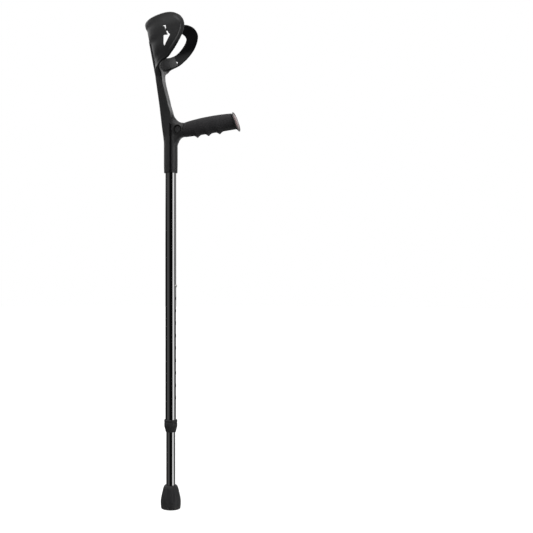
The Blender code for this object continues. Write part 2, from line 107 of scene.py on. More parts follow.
start_fresh()
bpy.ops.mesh.primitive_circle_add(vertices=96, radius=9.0, fill_type="NGON")
floor = bpy.context.object
floor.name = "studio_floor"
floor.visible_glossy = False
floor.visible_diffuse = False
floor_paint = bpy.data.materials.new("studio_floor_paint")
floor_paint.use_nodes = True
floor_shader = floor_paint.node_tree.nodes["Principled BSDF"]
floor_shader.inputs["Base Color"].default_value = (0.3, 0.3, 0.3, 1.0)
floor_shader.inputs["Roughness"].default_value = 0.9
floor_shader.inputs["Specular IOR Level"].default_value = 0.0
floor_shader.inputs["Emission Color"].default_value = (1.0, 1.0, 1.0, 1.0)
floor_shader.inputs["Emission Strength"].default_value = 0.9
floor.data.materials.append(floor_paint)
print("floor:", len(floor.data.vertices), "corners")

# %% [markdown]
# Black gloss shows only what is around it, so the studio is drawn as a sky: a strong softbox to
# the right, a weak one to the left, white walls behind, a brighter strip high on the right wall,
# a soft ceiling, and dark between. A broad light over the camera fills the matt pieces. It hangs
# too high for the upright tube to show it.

# %% Studio sky
world = bpy.data.worlds.new("studio_sky")
bpy.context.scene.world = world
world.use_nodes = True
sky = world.node_tree.nodes
sky_links = world.node_tree.links
sky.clear()


def sky_math(operation, first, second=None):
    node = sky.new("ShaderNodeMath")
    node.operation = operation
    for socket, value in zip(node.inputs, (first, second)):
        if isinstance(value, float):
            socket.default_value = value
        elif value is not None:
            sky_links.new(value, socket)
    return node.outputs[0]


def sky_step(value, low, high):
    """0 below low and 1 above high, with a smooth rise between."""
    node = sky.new("ShaderNodeMapRange")
    node.interpolation_type = "SMOOTHSTEP"
    sky_links.new(value, node.inputs["Value"])
    node.inputs["From Min"].default_value = low
    node.inputs["From Max"].default_value = high
    return node.outputs["Result"]


def sky_sum(parts):
    total = parts[0]
    for part in parts[1:]:
        total = sky_math("ADD", total, part)
    return total


look_way = sky.new("ShaderNodeTexCoord")
ways = sky.new("ShaderNodeSeparateXYZ")
sky_links.new(look_way.outputs["Generated"], ways.inputs[0])
towards = sky_math("MULTIPLY", ways.outputs["Y"], -1.0)
turn = sky_math("MULTIPLY", sky_math("ARCTAN2", ways.outputs["X"], towards), 180.0 / math.pi)
turn = sky_math("SUBTRACT", turn, math.degrees(CAMERA_ROUND))
rise = sky_math("MULTIPLY", sky_math("ARCSINE", ways.outputs["Z"]), 180.0 / math.pi)


def sky_panel(middle, half, soft, strength):
    off = sky_math("ABSOLUTE", sky_math("SUBTRACT", turn, middle))
    inside = sky_math("SUBTRACT", 1.0, sky_step(off, half - soft, half + soft))
    return sky_math("MULTIPLY", inside, strength)


def sky_band(light, low, high, soft):
    """Keeps a light between two heights, in degrees over the level of the camera."""
    above = sky_step(rise, low - soft, low + soft)
    below = sky_math("SUBTRACT", 1.0, sky_step(rise, high - soft, high + soft))
    return sky_math("MULTIPLY", light, sky_math("MULTIPLY", above, below))


print("sky helpers:", len(sky), "nodes so far")

# %% [markdown]
# Each light is placed by how far round from the camera it lies, in degrees, with a middle, a half
# width, a softness and a strength, and a band keeps it between two heights. Placing lights so
# makes it easy to find the one behind each bright line on the tube. Rays that go straight from the
# camera find plain white, as in the photograph.

# %% Studio lights
right_softbox = sky_band(sky_panel(58.5, 19.0, 4.0, 4.2), -20.0, 12.0, 4.0)
left_softbox = sky_band(sky_panel(-60.0, 28.0, 14.0, 0.34), -30.0, 50.0, 10.0)
right_wall = sky_math("MULTIPLY", sky_step(turn, 96.0, 114.0), 0.6)
right_wall = sky_sum([right_wall, sky_math("MULTIPLY", sky_step(turn, 130.0, 145.0), 0.5)])
right_wall = sky_band(right_wall, -60.0, 50.0, 10.0)
high_wall = sky_band(sky_math("MULTIPLY", sky_step(turn, 112.0, 128.0), 1.3), 12.0, 28.0, 4.0)
left_turn = sky_math("MULTIPLY", turn, -1.0)
left_wall = sky_band(sky_math("MULTIPLY", sky_step(left_turn, 114.0, 130.0), 1.1), 5.0, 50.0, 4.0)
left_wall = sky_sum([left_wall, sky_band(sky_panel(-125.0, 45.0, 12.0, 1.4), 11.0, 45.0, 4.0)])
front_light = sky_band(sky_panel(-20.0, 58.0, 20.0, 3.0), 32.0, 62.0, 6.0)
ceiling = sky_math("MULTIPLY", sky_step(rise, 46.0, 68.0), 2.2)
ground = sky_math("SUBTRACT", 0.4, sky_math("MULTIPLY", sky_step(rise, -34.0, -22.0), 0.4))
lights = [right_softbox, left_softbox, right_wall, high_wall, left_wall, front_light]
studio = sky_sum(lights + [ceiling, ground])
lit = sky.new("ShaderNodeBackground")
sky_links.new(sky_math("ADD", studio, 0.01), lit.inputs["Strength"])
plain = sky.new("ShaderNodeBackground")
plain.inputs["Color"].default_value = (1.0, 1.0, 1.0, 1.0)
ray_kind = sky.new("ShaderNodeLightPath")
choose = sky.new("ShaderNodeMixShader")
sky_links.new(ray_kind.outputs["Is Camera Ray"], choose.inputs[0])
sky_links.new(lit.outputs[0], choose.inputs[1])
sky_links.new(plain.outputs[0], choose.inputs[2])
sky_links.new(choose.outputs[0], sky.new("ShaderNodeOutputWorld").inputs["Surface"])
bpy.context.scene.view_settings.view_transform = "Standard"
print("sky nodes:", len(sky))

# %% [markdown]
# Every finish on this crutch is black or nearly so, and they differ in grain, sheen and wear.
# One recipe serves them all: a broad noise moves the colour a little, a fine one makes the grain
# of the mould, the sharp edges are polished a touch lighter by hands and floors, and the same
# noises move the roughness. Numbers that are the same all over go on the shader itself.

# %% Finishes
FINISHES = {}


class Finish:
    """A material with its nodes at hand."""

    def __init__(self, name, roughness=0.5, metallic=0.0, specular=0.5, coat=0.0, ior=1.5):
        self.material = bpy.data.materials.new(name)
        self.material.use_nodes = True
        self.nodes = self.material.node_tree.nodes
        self.links = self.material.node_tree.links
        self.shader = self.nodes["Principled BSDF"]
        self.shader.inputs["Roughness"].default_value = roughness
        self.shader.inputs["Metallic"].default_value = metallic
        self.shader.inputs["Specular IOR Level"].default_value = specular
        self.shader.inputs["IOR"].default_value = ior
        self.shader.inputs["Coat Weight"].default_value = coat
        self.shader.inputs["Coat Roughness"].default_value = 0.08
        self.place = self.nodes.new("ShaderNodeTexCoord").outputs["Object"]
        FINISHES[name] = self.material

    def link(self, output, socket):
        self.links.new(output, socket)

    def stretched(self, scale, turned=(0.0, 0.0, 0.0), centre=(0.0, 0.0, 0.0)):
        node = self.nodes.new("ShaderNodeMapping")
        node.inputs["Location"].default_value = centre
        node.inputs["Rotation"].default_value = turned
        node.inputs["Scale"].default_value = scale
        self.link(self.place, node.inputs["Vector"])
        return node.outputs[0]

    def height(self):
        """How high each point lies, in metres."""
        node = self.nodes.new("ShaderNodeSeparateXYZ")
        self.link(self.place, node.inputs[0])
        return node.outputs["Z"]

    def noise(self, per_metre, detail=3.0, place=None):
        node = self.nodes.new("ShaderNodeTexNoise")
        node.inputs["Scale"].default_value = per_metre
        node.inputs["Detail"].default_value = detail
        self.link(place or self.place, node.inputs["Vector"])
        return node.outputs["Fac"]

    def pits(self, per_metre):
        node = self.nodes.new("ShaderNodeTexVoronoi")
        node.inputs["Scale"].default_value = per_metre
        self.link(self.place, node.inputs["Vector"])
        return node.outputs["Distance"]

    def spread(self, value, low, high, to_low=0.0, to_high=1.0):
        node = self.nodes.new("ShaderNodeMapRange")
        node.inputs["From Min"].default_value = low
        node.inputs["From Max"].default_value = high
        node.inputs["To Min"].default_value = to_low
        node.inputs["To Max"].default_value = to_high
        self.link(value, node.inputs["Value"])
        return node.outputs["Result"]

    def clouds(self, per_metre, low=0.35, detail=3.0):
        """A broad soft pattern from 0 to 1."""
        return self.spread(self.noise(per_metre, detail), low, 0.7)

    def sums(self, operation, first, second):
        node = self.nodes.new("ShaderNodeMath")
        node.operation = operation
        for socket, value in zip(node.inputs, (first, second)):
            if isinstance(value, float):
                socket.default_value = value
            else:
                self.link(value, socket)
        return node.outputs[0]

    def blend(self, amount, first, second):
        """Colour between two colours. Either may be a triple or the output of another blend."""
        node = self.nodes.new("ShaderNodeMix")
        node.data_type = "RGBA"
        self.link(amount, node.inputs["Factor"])
        for socket, value in ((node.inputs[6], first), (node.inputs[7], second)):
            if isinstance(value, tuple):
                socket.default_value = (*value, 1.0)
            else:
                self.link(value, socket)
        return node.outputs[2]

    def wear(self, per_metre, low=0.52, high=0.6, patchy=0.3):
        """Patches of wear on the sharp outer edges, which the renderer finds by their curvature."""
        edges = self.nodes.new("ShaderNodeNewGeometry").outputs["Pointiness"]
        return self.sums("MULTIPLY", self.spread(edges, low, high), self.clouds(per_metre, patchy))

    def bump(self, height, depth, strength=1.0):
        node = self.nodes.new("ShaderNodeBump")
        node.inputs["Strength"].default_value = strength
        node.inputs["Distance"].default_value = depth
        self.link(height, node.inputs["Height"])
        self.link(node.outputs["Normal"], self.shader.inputs["Normal"])

    def colour(self, output):
        self.link(output, self.shader.inputs["Base Color"])

    def rough(self, output):
        self.link(output, self.shader.inputs["Roughness"])


print("finish helper ready, with", sum(callable(way) for way in vars(Finish).values()), "ways to build nodes")

# %% [markdown]
# The cuff and the socket are one injection moulding in glass-filled nylon. A spark-eroded mould
# leaves a fine even grain on it, which scatters light so much that it looks matt. The rims are a
# lighter grey, partly wear and partly a painted highlight, and a few dusty clouds lie on the broad
# faces. A lighter grey is painted as a highlight along the cuff's border step and on its rear
# corner: how much is stored in each point of the moulding.

# %% Moulded nylon
# The stem is painted darker between these heights, in metres, as the shade under the cuff, and fades in and
# out over each pair.
SHADED_STEM_LOW = (0.775, 0.80)
SHADED_STEM_HIGH = (0.868, 0.850)
PAINTED_HIGHLIGHT_GREY = (0.17, 0.17, 0.172)


def moulded_black(name="moulded_black", polish_and_shade=False):
    """The grained outside, or the polished lining that the forearm touches, painted darker as shade."""
    nylon = Finish(name, roughness=0.6, specular=0.07 if polish_and_shade else 0.4)
    clouds = nylon.clouds(22.0, detail=4.0)
    grain = nylon.noise(2600.0, 2.0)
    base = nylon.spread(nylon.noise(60.0), 0.3, 0.7, 0.44, 0.54)
    if polish_and_shade:
        # Painted shade: the lining is much darker than the outside, for the shade inside the cuff and in its
        # hollows.
        body = nylon.blend(clouds, (0.0065, 0.0065, 0.007), (0.009, 0.009, 0.0095))
        base = nylon.sums("SUBTRACT", base, 0.22)
    else:
        body = nylon.blend(clouds, (0.016, 0.016, 0.017), (0.022, 0.022, 0.023))
        body = nylon.blend(nylon.spread(grain, 0.62, 0.78), body, (0.042, 0.042, 0.043))
        # The middle of the stem, under the cuff, is painted darker as shade, so it is the blackest part.
        high = nylon.height()
        stem_shade = nylon.sums("MULTIPLY", nylon.spread(high, *SHADED_STEM_LOW), nylon.spread(high, *SHADED_STEM_HIGH))
        body = nylon.blend(stem_shade, body, (0.009, 0.009, 0.0095))
        # Painted highlight: each point's stored amount lightens the body to a grey, along the border step and
        # on the rear corner.
        painted_highlight = nylon.nodes.new("ShaderNodeAttribute")
        painted_highlight.attribute_name = "painted_highlight"
        uneven = nylon.spread(nylon.noise(240.0), 0.2, 0.6, 0.5, 1.0)
        painted_highlights = nylon.sums("MULTIPLY", painted_highlight.outputs["Fac"], uneven)
        body = nylon.blend(painted_highlights, body, PAINTED_HIGHLIGHT_GREY)
        base = nylon.sums("SUBTRACT", base, nylon.sums("MULTIPLY", painted_highlights, 0.12))
    # The lighter rims are partly wear and partly a painted highlight for the glints along the edges.
    edges = nylon.wear(180.0, 0.53, 0.66)
    nylon.colour(nylon.blend(edges, body, (0.06, 0.06, 0.061)))
    nylon.rough(nylon.sums("SUBTRACT", base, nylon.sums("MULTIPLY", edges, 0.1)))
    height = nylon.sums("ADD", grain, nylon.sums("MULTIPLY", nylon.noise(700.0, 2.0), 0.6))
    nylon.bump(height, 0.00002 if polish_and_shade else 0.00006)


moulded_black()
moulded_black("moulded_black_polished_shaded", True)
print("nylon finishes:", ", ".join(FINISHES))

# %% [markdown]
# The tubes are aluminium, anodised black. The skin is hard and clear over the dye, so they mirror
# the studio more sharply than the nylon does: a coat over a nearly black body gives that depth.
# Drawing a tube leaves fine lines along it, which break up the mirror a little. The collar under
# the wide tube is a plain matt moulding.

# %% Anodised tube
def anodised_black():
    tube = Finish("anodised_black", roughness=0.12, specular=1.0, ior=1.77, coat=1.0)
    lines = tube.noise(900.0, 3.0, tube.stretched((1.0, 1.0, 0.015)))
    body = tube.blend(tube.clouds(35.0, 0.3), (0.0008, 0.0008, 0.001), (0.002, 0.002, 0.0023))
    scuffs = tube.spread(tube.noise(420.0, 4.0, tube.stretched((1.0, 1.0, 0.2))), 0.72, 0.9)
    tube.colour(tube.blend(scuffs, body, (0.03, 0.03, 0.031)))
    drawn = tube.spread(lines, 0.3, 0.7, 0.05, 0.11)
    tube.rough(tube.sums("ADD", drawn, tube.sums("MULTIPLY", scuffs, 0.08)))
    tube.bump(lines, 0.000008)


def matt_black():
    ring = Finish("matt_black", roughness=0.62, specular=0.3)
    grain = ring.noise(2200.0, 2.0)
    body = ring.blend(ring.clouds(90.0), (0.016, 0.016, 0.017), (0.023, 0.023, 0.024))
    ring.colour(ring.blend(ring.wear(400.0), body, (0.05, 0.05, 0.05)))
    ring.rough(ring.spread(grain, 0.3, 0.7, 0.55, 0.7))
    ring.bump(grain, 0.00005)


anodised_black()
matt_black()
print("finishes so far:", len(FINISHES))

# %% [markdown]
# The sleeve on the handle is soft rubber: duller than the nylon, with a pebbled skin, and greyer
# where a palm has rubbed it. The foot is harder, darker rubber that picks up dust from the floor.

# %% Rubbers
def grip_rubber():
    sleeve = Finish("grip_rubber", roughness=0.75, specular=0.25)
    pebbles = sleeve.pits(1100.0)
    body = sleeve.blend(sleeve.clouds(30.0), (0.025, 0.0245, 0.026), (0.034, 0.033, 0.035))
    sleeve.colour(sleeve.blend(sleeve.wear(260.0, 0.51, 0.58), body, (0.05, 0.05, 0.052)))
    sleeve.rough(sleeve.spread(pebbles, 0.1, 0.7, 0.66, 0.82))
    height = sleeve.sums("ADD", sleeve.sums("MULTIPLY", pebbles, -1.0), sleeve.noise(3200.0, 2.0))
    sleeve.bump(height, 0.00007)


def ferrule_rubber():
    foot = Finish("ferrule_rubber", roughness=0.55, specular=0.3)
    grain = foot.noise(2400.0, 2.0)
    body = foot.blend(foot.clouds(55.0, 0.3), (0.015, 0.015, 0.016), (0.021, 0.021, 0.022))
    low_down = foot.spread(foot.height(), 0.014, 0.0, 0.0, 0.8)
    dust = foot.sums("MULTIPLY", low_down, foot.spread(foot.noise(330.0, 4.0), 0.45, 0.7))
    dusty = foot.blend(dust, body, (0.085, 0.08, 0.074))
    edges = foot.wear(300.0, patchy=0.35)
    foot.colour(foot.blend(edges, dusty, (0.05, 0.05, 0.05)))
    worn = foot.sums("SUBTRACT", foot.sums("MULTIPLY", dust, 0.25), foot.sums("MULTIPLY", edges, 0.3))
    foot.rough(foot.sums("ADD", foot.spread(grain, 0.3, 0.7, 0.52, 0.64), worn))
    foot.bump(grain, 0.00005)


grip_rubber()
ferrule_rubber()
print("finishes so far:", len(FINISHES))

# %% [markdown]
# The plug and its reflector close the handle. A bicycle-type reflector is clear red plastic,
# smooth outside, with rows of tiny cube corners on its back that throw light to where it came
# from. The cube corners are drawn as three ridge patterns, turned by 60 degrees from each other.

# %% Plug and reflector
END_LEAN = math.radians(18.3)


def plug_black():
    cap = Finish("plug_black", roughness=0.3, specular=0.4)
    grain = cap.noise(2600.0, 2.0)
    body = cap.blend(cap.clouds(120.0), (0.026, 0.025, 0.026), (0.034, 0.033, 0.034))
    cap.colour(cap.blend(cap.wear(420.0), body, (0.05, 0.05, 0.05)))
    cap.rough(cap.spread(grain, 0.3, 0.7, 0.28, 0.38))
    cap.bump(grain, 0.00003)


def reflector_red():
    glass = Finish("reflector_red", roughness=0.2, specular=0.25)
    upright = -(0.5 * math.pi - END_LEAN)
    ridges = []
    for k in range(3):
        node = glass.nodes.new("ShaderNodeTexWave")
        node.inputs["Scale"].default_value = 125.0
        node.wave_profile = "TRI"
        flat = glass.stretched((1.0, 1.0, 1.0), (0.0, upright, 0.0))
        twist = glass.nodes.new("ShaderNodeMapping")
        twist.inputs["Rotation"].default_value = (0.0, 0.0, math.radians(60.0 * k))
        glass.link(flat, twist.inputs["Vector"])
        glass.link(twist.outputs[0], node.inputs["Vector"])
        ridges.append(node.outputs["Fac"])
    cubes = glass.sums("ADD", glass.sums("ADD", ridges[0], ridges[1]), ridges[2])
    body = glass.blend(glass.spread(cubes, 0.6, 2.4), (0.05, 0.002, 0.002), (0.16, 0.008, 0.007))
    fine_dust = glass.spread(glass.noise(520.0, 4.0), 0.62, 0.8, 0.0, 0.4)
    glass.colour(glass.blend(fine_dust, body, (0.3, 0.1, 0.09)))
    glass.rough(glass.spread(glass.noise(90.0), 0.3, 0.7, 0.16, 0.26))
    glass.bump(cubes, 0.0002, 0.6)


plug_black()
reflector_red()
print("finishes so far:", len(FINISHES))

# %% [markdown]
# The small metal parts are the snap button and the rivet. Zinc plating is bright but never quite
# clean, so it has fine turned rings and a faint brown bloom. The rivet is blackened. The last
# three finishes are for pieces inside the tube, which show only when the crutch is cut open.

# %% Metals and inner pieces
def metal(name, dark, light, roughness):
    steel = Finish(name, roughness=roughness, metallic=1.0)
    marks = steel.noise(700.0)
    steel.colour(steel.blend(steel.clouds(240.0, 0.3, 4.0), dark, light))
    steel.rough(steel.spread(marks, 0.3, 0.7, roughness * 0.8, roughness * 1.3))
    steel.bump(marks, 0.00001)


def bush_plastic():
    bush = Finish("bush_plastic", roughness=0.5)
    grain = bush.noise(1800.0, 2.0)
    bush.colour(bush.blend(bush.clouds(150.0, 0.3), (0.62, 0.61, 0.57), (0.72, 0.71, 0.68)))
    bush.rough(bush.spread(grain, 0.3, 0.7, 0.42, 0.56))
    bush.bump(grain, 0.00002)


bush_plastic()
metal("plated_steel", (0.5, 0.49, 0.46), (0.64, 0.64, 0.63), 0.24)
metal("spring_steel", (0.33, 0.33, 0.34), (0.45, 0.45, 0.46), 0.3)
metal("rivet_steel", (0.05, 0.05, 0.052), (0.09, 0.088, 0.085), 0.36)
metal("washer_steel", (0.4, 0.4, 0.39), (0.55, 0.55, 0.54), 0.4)
print("finishes:", ", ".join(sorted(FINISHES)))

# %% [markdown]
# Round pieces are made as on a lathe. A circle gives one loose ring of points, they are laid out
# as half of the section, and spin turns that section about the tube's axis. A section that ends
# on the axis at both ends has no edge along it.

# %% Lathe
def spun(name, section, steps, place=None):
    """A closed (radius, height) section in millimetres, turned about Z, then set in its place."""
    start_fresh()
    bpy.ops.mesh.primitive_circle_add(vertices=len(section), radius=0.01, fill_type="NOTHING")
    piece = bpy.context.object
    piece.name = name
    for corner, (radius, height) in zip(piece.data.vertices, section):
        corner.co = (radius * MM, 0.0, height * MM)
    bpy.ops.object.mode_set(mode="EDIT")
    if section[0][0] == 0.0 and section[-1][0] == 0.0:
        shape = bmesh.from_edit_mesh(piece.data)
        for edge in shape.edges:
            edge.select = all(abs(corner.co.x) < 1e-9 for corner in edge.verts)
        bmesh.update_edit_mesh(piece.data)
        bpy.ops.mesh.delete(type="EDGE_FACE")
    bpy.ops.mesh.select_all(action="SELECT")
    bpy.ops.mesh.spin(steps=steps, angle=2.0 * math.pi, center=(0.0, 0.0, 0.0), axis=(0.0, 0.0, 1.0))
    bpy.ops.mesh.select_all(action="SELECT")
    bpy.ops.mesh.remove_doubles(threshold=1e-6)
    bpy.ops.mesh.normals_make_consistent(inside=False)
    bpy.ops.object.mode_set(mode="OBJECT")
    if place:
        piece.matrix_world = place
        bpy.ops.object.transform_apply(location=True, rotation=True, scale=True)
    return piece


def rod(radius, low, high):
    """The section of a plain round bar."""
    return [(0.0, low), (radius, low), (radius, high), (0.0, high)]


def laid(x, z, lean):
    """Lays a turned piece on its side, along a line over the handle that climbs by lean."""
    along = Matrix.Rotation(0.5 * math.pi - lean, 4, "Y")
    return Matrix.Translation((x * MM, 0.0, z * MM)) @ along


print("lathe ready, sections are in millimetres")

# %% [markdown]
# The same few steps end every piece. Modifiers are applied at once, so that what is measured is
# what shows. The shading is smoothed except at sharp edges. Then the piece gets its finish and the
# body that it moves with, and the solid that it stands for is hidden. Each step is one word from here on.

# %% Bench tools
def smoothed(piece, degrees=32.0):
    start_fresh()
    piece.select_set(True)
    bpy.context.view_layer.objects.active = piece
    bpy.ops.object.shade_smooth_by_angle(angle=math.radians(degrees))


def applied(piece, kind, **settings):
    """Adds one modifier and applies it at once."""
    start_fresh()
    piece.select_set(True)
    bpy.context.view_layer.objects.active = piece
    change = piece.modifiers.new(kind.lower(), kind)
    for key, value in settings.items():
        setattr(change, key, value)
    bpy.ops.object.modifier_apply(modifier=change.name)


def joined(piece, others):
    """Puts bodies that overlap in one mesh. A voxel remesh afterwards makes one skin of them."""
    start_fresh()
    for body in (piece, *others):
        body.select_set(True)
    bpy.context.view_layer.objects.active = piece
    bpy.ops.object.join()


def carved(piece, tool, operation="DIFFERENCE", solver="EXACT"):
    """Cuts a tool from a piece, or keeps what both share, and throws the tool away."""
    applied(piece, "BOOLEAN", object=tool, operation=operation, solver=solver)
    bpy.data.objects.remove(tool, do_unlink=True)


def fitted(piece, finish, body, node):
    """Gives a finished piece its surface and the body that it moves with, and hides the solid it stands for.
    """
    piece.data.materials.clear()
    piece.data.materials.append(FINISHES[finish])
    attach(piece, body)
    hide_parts(node)
    print(piece.name, "faces:", len(piece.data.polygons))


print("bench tools ready for", len(frame["nodes"]), "solids")

# %% [markdown]
# The leg is two aluminium tubes, one in the other. The wide one has a row of holes for the snap
# button, 25 mm apart. Real holes are punched or drilled and then deburred, so each drill here has
# a wider neck that breaks the edge. The wall has a real thickness, so a hole looks like a hole.

# %% Tubes
GAP = 0.3
OUTER_R = 11.0
OUTER_BORE_R = 9.8
INNER_R = 9.25
INNER_BORE_R = 8.05
TUBE_LOW = 167.0
TUBE_TOP = 770.0
INNER_LOW = 13.8
INNER_TOP = 481.0
BUTTON_Z = 448.0
BUTTON_R = 3.2
HOLE_COUNT = 10
HOLE_PITCH = 25.0
RIVET_Z = 700.0
RIVET_HOLE_R = 2.2
NECK = 0.35


def tube_section(bore, outside, low, high, rings):
    """A thin wall with broken edges, and extra rings where holes will be cut."""
    edge = 0.25
    section = [(bore, low + edge), (bore + edge, low), (outside - edge, low), (outside, low + edge)]
    section += [(outside, height) for height in rings]
    section += [(outside, high - edge), (outside - edge, high), (bore + edge, high), (bore, high - edge)]
    section += [(bore, height) for height in reversed(rings)]
    return section


def drill(radius, reach, place, mouth_at):
    """A drill with a neck that is a little wider where it leaves the wall."""
    section = [(0.0, 0.0), (radius, 0.0), (radius, mouth_at - 0.3), (radius + NECK, mouth_at + 0.05)]
    section += [(radius + NECK, reach), (0.0, reach)]
    return spun("drill", section, 36, place)


hole_heights = [BUTTON_Z - k * HOLE_PITCH for k in range(HOLE_COUNT)]
rings = sorted({height + step for height in hole_heights for step in (-7.0, 7.0)})
outer_section = tube_section(OUTER_BORE_R, OUTER_R, TUBE_LOW, TUBE_TOP, rings)
outer_tube = spun("outer_tube_drawn", outer_section, 128)
for height in hole_heights:
    carved(outer_tube, drill(BUTTON_R + 0.4, 16.0, laid(0.0, height, 0.0), OUTER_R))
far_side = Matrix.Translation((0.0, 0.0, RIVET_Z * MM)) @ Matrix.Rotation(-0.5 * math.pi, 4, "X")
carved(outer_tube, drill(RIVET_HOLE_R, 16.0, far_side, OUTER_R + 1.0))
smoothed(outer_tube)
fitted(outer_tube, "anodised_black", "upper", "outer_tube")

inner_rings = [BUTTON_Z - 7.0, BUTTON_Z + 7.0]
inner_section = tube_section(INNER_BORE_R, INNER_R, INNER_LOW, INNER_TOP, inner_rings)
inner_tube = spun("inner_tube_drawn", inner_section, 112)
carved(inner_tube, drill(BUTTON_R + 0.2, 14.0, laid(0.0, BUTTON_Z, 0.0), INNER_R))
smoothed(inner_tube)
fitted(inner_tube, "anodised_black", "leg", "inner_tube")

# %% [markdown]
# A moulded collar closes the bottom of the wide tube and steadies the narrow one in it. Its edges
# are rounded, as on any moulding, because a sharp edge would not fill or come out of the mould.

# %% Collar
def rounded(outline, radius, steps):
    """The outline with each corner replaced by a short curve."""
    made = []
    for k, corner in enumerate(outline):
        here = np.array(corner, float)
        back = np.array(outline[k - 1]) - here
        ahead = np.array(outline[(k + 1) % len(outline)]) - here
        cut = min(radius, 0.45 * np.linalg.norm(back), 0.45 * np.linalg.norm(ahead))
        first = here + back / np.linalg.norm(back) * cut
        last = here + ahead / np.linalg.norm(ahead) * cut
        for t in np.linspace(0.0, 1.0, steps + 1):
            made.append(tuple(first * (1 - t) ** 2 + here * 2 * t * (1 - t) + last * t**2))
    return made


SHELF = TUBE_LOW - GAP
COLLAR_R = 13.3
BAND_R = 12.95
COLLAR_BORE_R = INNER_R + GAP
collar_section = [(COLLAR_BORE_R, SHELF - 12.7), (10.35, SHELF - 12.7), (10.75, SHELF - 11.1)]
collar_section += [(11.45, SHELF - 7.8)]
collar_section += [(12.45, SHELF - 4.3), (13.2, SHELF - 1.4), (COLLAR_R, SHELF + 5.6)]
collar_section += [(BAND_R, SHELF + 6.0), (BAND_R, SHELF + 6.9), (COLLAR_R, SHELF + 7.3)]
collar_section += [(COLLAR_R, SHELF + 11.5), (12.5, SHELF + 12.3), (OUTER_R + GAP, SHELF + 12.3)]
collar_section += [(OUTER_R + GAP, SHELF), (COLLAR_BORE_R, SHELF)]
collar = spun("tube_end_collar_moulded", rounded(collar_section, 0.5, 3), 112)
smoothed(collar, 40.0)
fitted(collar, "matt_black", "upper", "tube_end_collar")

# %% [markdown]
# The snap button is a turned steel cup: a flange stays inside the tubes, and a rounded head comes
# through both walls. The rivet keeps the tube in the socket. Its shank is upset inside the tube,
# which is why the hidden end is thicker than the hole.

# %% Button and rivet
FLANGE_R = 4.5
seat = math.sqrt((INNER_BORE_R - GAP) ** 2 - FLANGE_R**2)
tip = OUTER_R + 2.0
button_section = [(0.0, seat - 0.9), (4.3, seat - 0.9), (FLANGE_R, seat - 0.7), (FLANGE_R, seat - 0.2)]
button_section += [(4.3, seat), (BUTTON_R, seat)]
for angle in np.radians(np.linspace(0.0, 84.0, 10)):
    button_section.append((BUTTON_R * math.cos(angle), tip - 1.5 * (1.0 - math.sin(angle))))
button_section.append((0.0, tip))
snap_button = spun("snap_button_turned", button_section, 64, laid(0.0, BUTTON_Z, 0.0))
smoothed(snap_button)
fitted(snap_button, "plated_steel", "button", "snap_button")

SOCKET_R = 14.0
UPSET_R = 2.6
SHANK_R = 1.9
inside = math.sqrt(OUTER_BORE_R**2 - UPSET_R**2) - GAP
rivet_section = [(0.0, inside - 2.4), (1.6, inside - 2.4), (2.3, inside - 2.1), (UPSET_R, inside - 1.5)]
rivet_section += [(UPSET_R, inside), (SHANK_R, inside), (SHANK_R, SOCKET_R + GAP), (3.4, SOCKET_R + GAP)]
for angle in np.radians(np.linspace(0.0, 80.0, 9)):
    rivet_section.append((3.5 * math.cos(angle), SOCKET_R + GAP + 0.3 + 0.9 * math.sin(angle)))
rivet_section.append((0.0, SOCKET_R + GAP + 1.2))
rivet = spun("socket_rivet_set", rivet_section, 56, far_side)
smoothed(rivet)
fitted(rivet, "rivet_steel", "upper", "socket_rivet")

# %% [markdown]
# The foot is one rubber moulding: a flared skirt with flutes that let it bend, a ringed tread and
# a blind bore for the narrow tube. It is turned first, the flutes are carved round it, and a fine
# voxel remesh with a little smoothing then rounds every edge, as soft rubber always is.

# %% Foot
FOOT_HIGH = 46.8
FLUTE_COUNT = 10
FLUTE_TURN = 15.0
FLUTE_AWAY = 23.1
FLUTE_LOW = 16.0
FLUTE_LEAN = 0.197
FOOT_VOXEL = 0.00055
foot_section = [(0.0, 0.0), (6.0, 0.0), (6.8, 1.1), (8.8, 1.1), (9.6, 0.0), (12.8, 0.0), (13.6, 1.1)]
foot_section += [(15.6, 1.1), (16.4, 0.0), (18.8, 0.0), (19.5, 0.8), (19.9, 4.0), (20.3, 9.0), (20.5, 14.0)]
foot_section += [(20.3, 18.0), (19.7, 22.5), (18.6, 27.5), (17.5, 32.0), (16.3, 37.0), (15.6, 40.0)]
foot_section += [(14.9, FOOT_HIGH - 4.6), (14.0, FOOT_HIGH - 2.4), (12.9, FOOT_HIGH - 0.7), (12.1, FOOT_HIGH)]
foot_section += [(INNER_R + GAP, FOOT_HIGH), (INNER_R + GAP, 12.0), (0.0, 12.0)]
foot = spun("ferrule_moulded", foot_section, 144)
for k in range(FLUTE_COUNT):
    around = Matrix.Rotation(math.radians(360.0 / FLUTE_COUNT * k + FLUTE_TURN), 4, "Z")
    lean = Matrix.Translation((FLUTE_AWAY * MM, 0.0, FLUTE_LOW * MM)) @ Matrix.Rotation(-FLUTE_LEAN, 4, "Y")
    flute = [(0.0, -2.6), (1.6, -2.2), (2.8, -1.2), (3.4, 0.4), (3.4, 24.0), (2.6, 26.5), (0.0, 28.0)]
    carved(foot, spun("flute", flute, 32, around @ lean))
applied(foot, "REMESH", mode="VOXEL", voxel_size=FOOT_VOXEL)
applied(foot, "SMOOTH", factor=0.5, iterations=4)
smoothed(foot, 60.0)
fitted(foot, "ferrule_rubber", "leg", "ferrule")

# %% [markdown]
# The sleeve on the handle is an oval that grows towards the end, with three pointed finger ridges
# under it. It is made as a loft: one oval is extruded from station to station along the handle,
# and each new oval is shaped as it is made. The end is then cut square to the plug.

